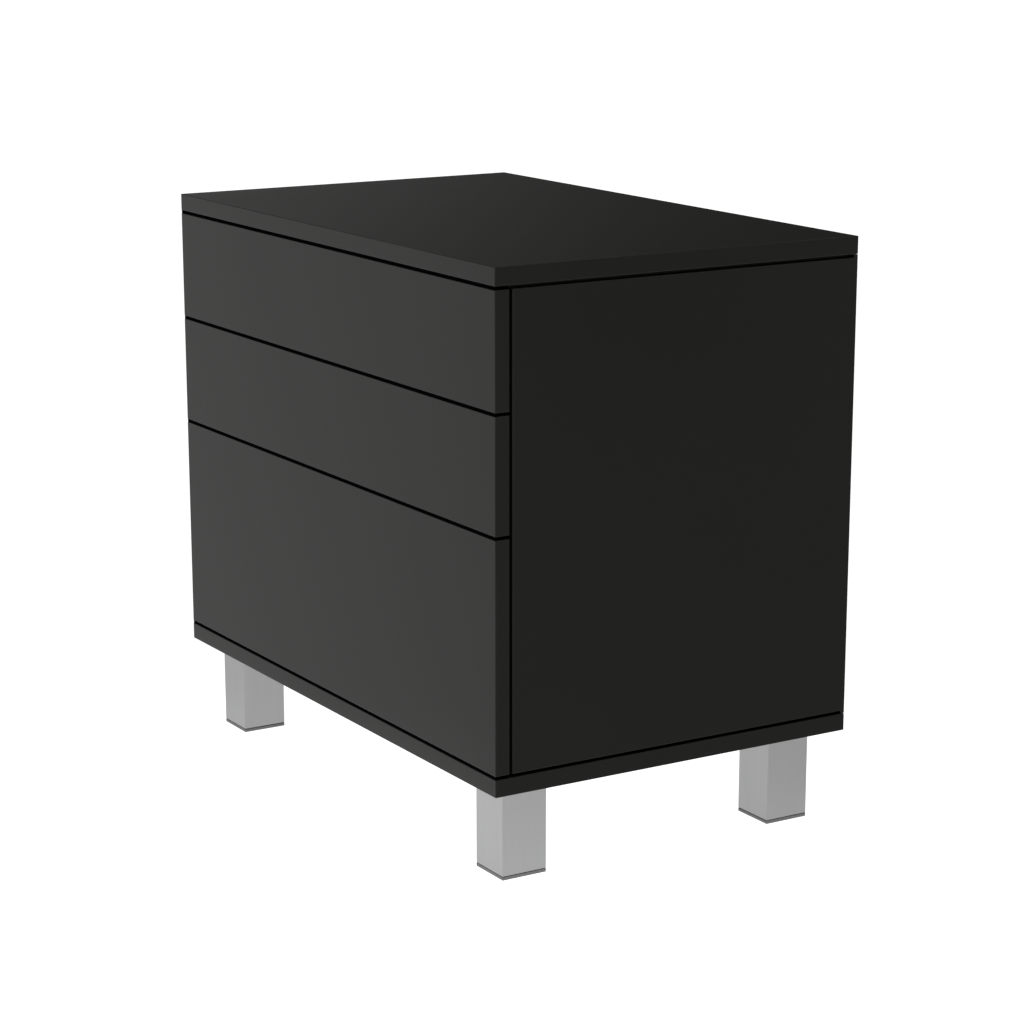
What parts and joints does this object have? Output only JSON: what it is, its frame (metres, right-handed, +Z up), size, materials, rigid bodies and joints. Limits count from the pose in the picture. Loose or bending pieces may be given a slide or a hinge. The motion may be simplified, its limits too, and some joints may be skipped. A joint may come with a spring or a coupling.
{
  "type": "nightstand with drawers",
  "caption": "Low handleless nightstand on short square metal legs: shallow push-to-open drawers stacked over a deep one, with thin shadow gaps.",
  "frame": {"origin": "on the floor under the middle of the top board", "axes": "+X to the right as seen from in front, -Y out of the drawer fronts, +Z up"},
  "size_m": [0.6, 0.374, 0.542],
  "materials": {
    "black_lacquered_board": "black satin lacquer on flat board, with sharp edges",
    "drawer_board": "anthracite melamine, fine matt texture",
    "drawer_base_board": "thin anthracite coated fibreboard, matt",
    "satin_aluminium": "light grey satin anodised",
    "grey_plastic": "moulded, matt mid grey",
    "black_plastic": "moulded, fine matt grain",
    "zinc_plated_steel": "rolled sheet, bright zinc plating"
  },
  "bodies": {
    "cabinet": {"top_board": "black_lacquered_board", "bottom_board": "black_lacquered_board", "side_panel_left": "black_lacquered_board", "side_panel_right": "black_lacquered_board", "back_panel": "black_lacquered_board", "leg_tube_front_left": "satin_aluminium", "leg_tube_front_right": "satin_aluminium", "leg_tube_rear_left": "satin_aluminium", "leg_tube_rear_right": "satin_aluminium", "foot_cap_front_left": "grey_plastic", "foot_cap_front_right": "grey_plastic", "foot_cap_rear_left": "grey_plastic", "foot_cap_rear_right": "grey_plastic", "leg_insert_front_left": "black_plastic", "leg_insert_front_right": "black_plastic", "leg_insert_rear_left": "black_plastic", "leg_insert_rear_right": "black_plastic", "leg_bolt_front_left": "zinc_plated_steel", "leg_bolt_front_right": "zinc_plated_steel", "leg_bolt_rear_left": "zinc_plated_steel", "leg_bolt_rear_right": "zinc_plated_steel", "slide_top_left_cabinet_member": "zinc_plated_steel", "slide_top_right_cabinet_member": "zinc_plated_steel", "latch_top_housing": "black_plastic", "slide_middle_left_cabinet_member": "zinc_plated_steel", "slide_middle_right_cabinet_member": "zinc_plated_steel", "latch_middle_housing": "black_plastic", "slide_bottom_left_cabinet_member": "zinc_plated_steel", "slide_bottom_right_cabinet_member": "zinc_plated_steel", "latch_bottom_housing": "black_plastic"},
    "drawer_top": {"drawer_top_front": "black_lacquered_board", "drawer_top_side_left": "drawer_board", "drawer_top_side_right": "drawer_board", "drawer_top_back": "drawer_board", "drawer_top_base": "drawer_base_board", "slide_top_left_drawer_member": "zinc_plated_steel", "slide_top_right_drawer_member": "zinc_plated_steel"},
    "slide_carriage_top": {"slide_top_left_middle_member": "zinc_plated_steel", "slide_top_right_middle_member": "zinc_plated_steel"},
    "latch_plunger_top": {"latch_top_plunger": "grey_plastic"},
    "drawer_middle": {"drawer_middle_front": "black_lacquered_board", "drawer_middle_side_left": "drawer_board", "drawer_middle_side_right": "drawer_board", "drawer_middle_back": "drawer_board", "drawer_middle_base": "drawer_base_board", "slide_middle_left_drawer_member": "zinc_plated_steel", "slide_middle_right_drawer_member": "zinc_plated_steel"},
    "slide_carriage_middle": {"slide_middle_left_middle_member": "zinc_plated_steel", "slide_middle_right_middle_member": "zinc_plated_steel"},
    "latch_plunger_middle": {"latch_middle_plunger": "grey_plastic"},
    "drawer_bottom": {"drawer_bottom_front": "black_lacquered_board", "drawer_bottom_side_left": "drawer_board", "drawer_bottom_side_right": "drawer_board", "drawer_bottom_back": "drawer_board", "drawer_bottom_base": "drawer_base_board", "slide_bottom_left_drawer_member": "zinc_plated_steel", "slide_bottom_right_drawer_member": "zinc_plated_steel"},
    "slide_carriage_bottom": {"slide_bottom_left_middle_member": "zinc_plated_steel", "slide_bottom_right_middle_member": "zinc_plated_steel"},
    "latch_plunger_bottom": {"latch_bottom_plunger": "grey_plastic"}
  },
  "joints": [
    {"name": "drawer_top_slide", "type": "slide", "parent": "cabinet", "child": "drawer_top", "axis": [0, -1, 0], "range_m": [-0.0015, 0.3]},
    {"name": "slide_carriage_top_travel", "type": "slide", "parent": "cabinet", "child": "slide_carriage_top", "axis": [0, -1, 0], "range_m": [-0.00075, 0.15]},
    {"name": "latch_plunger_top_press", "type": "slide", "parent": "cabinet", "child": "latch_plunger_top", "axis": [0, 1, 0], "range_m": [0, 0.0015], "stiffness_N_per_m": 400, "springref_m": -0.008},
    {"name": "drawer_middle_slide", "type": "slide", "parent": "cabinet", "child": "drawer_middle", "axis": [0, -1, 0], "range_m": [-0.0015, 0.3]},
    {"name": "slide_carriage_middle_travel", "type": "slide", "parent": "cabinet", "child": "slide_carriage_middle", "axis": [0, -1, 0], "range_m": [-0.00075, 0.15]},
    {"name": "latch_plunger_middle_press", "type": "slide", "parent": "cabinet", "child": "latch_plunger_middle", "axis": [0, 1, 0], "range_m": [0, 0.0015], "stiffness_N_per_m": 400, "springref_m": -0.008},
    {"name": "drawer_bottom_slide", "type": "slide", "parent": "cabinet", "child": "drawer_bottom", "axis": [0, -1, 0], "range_m": [-0.0015, 0.3]},
    {"name": "slide_carriage_bottom_travel", "type": "slide", "parent": "cabinet", "child": "slide_carriage_bottom", "axis": [0, -1, 0], "range_m": [-0.00075, 0.15]},
    {"name": "latch_plunger_bottom_press", "type": "slide", "parent": "cabinet", "child": "latch_plunger_bottom", "axis": [0, 1, 0], "range_m": [0, 0.0015], "stiffness_N_per_m": 400, "springref_m": -0.008}
  ],
  "couplings": [
    {"joint": "slide_carriage_top_travel", "follows": "drawer_top_slide", "ratio": 0.5},
    {"joint": "slide_carriage_middle_travel", "follows": "drawer_middle_slide", "ratio": 0.5},
    {"joint": "slide_carriage_bottom_travel", "follows": "drawer_bottom_slide", "ratio": 0.5}
  ]
}
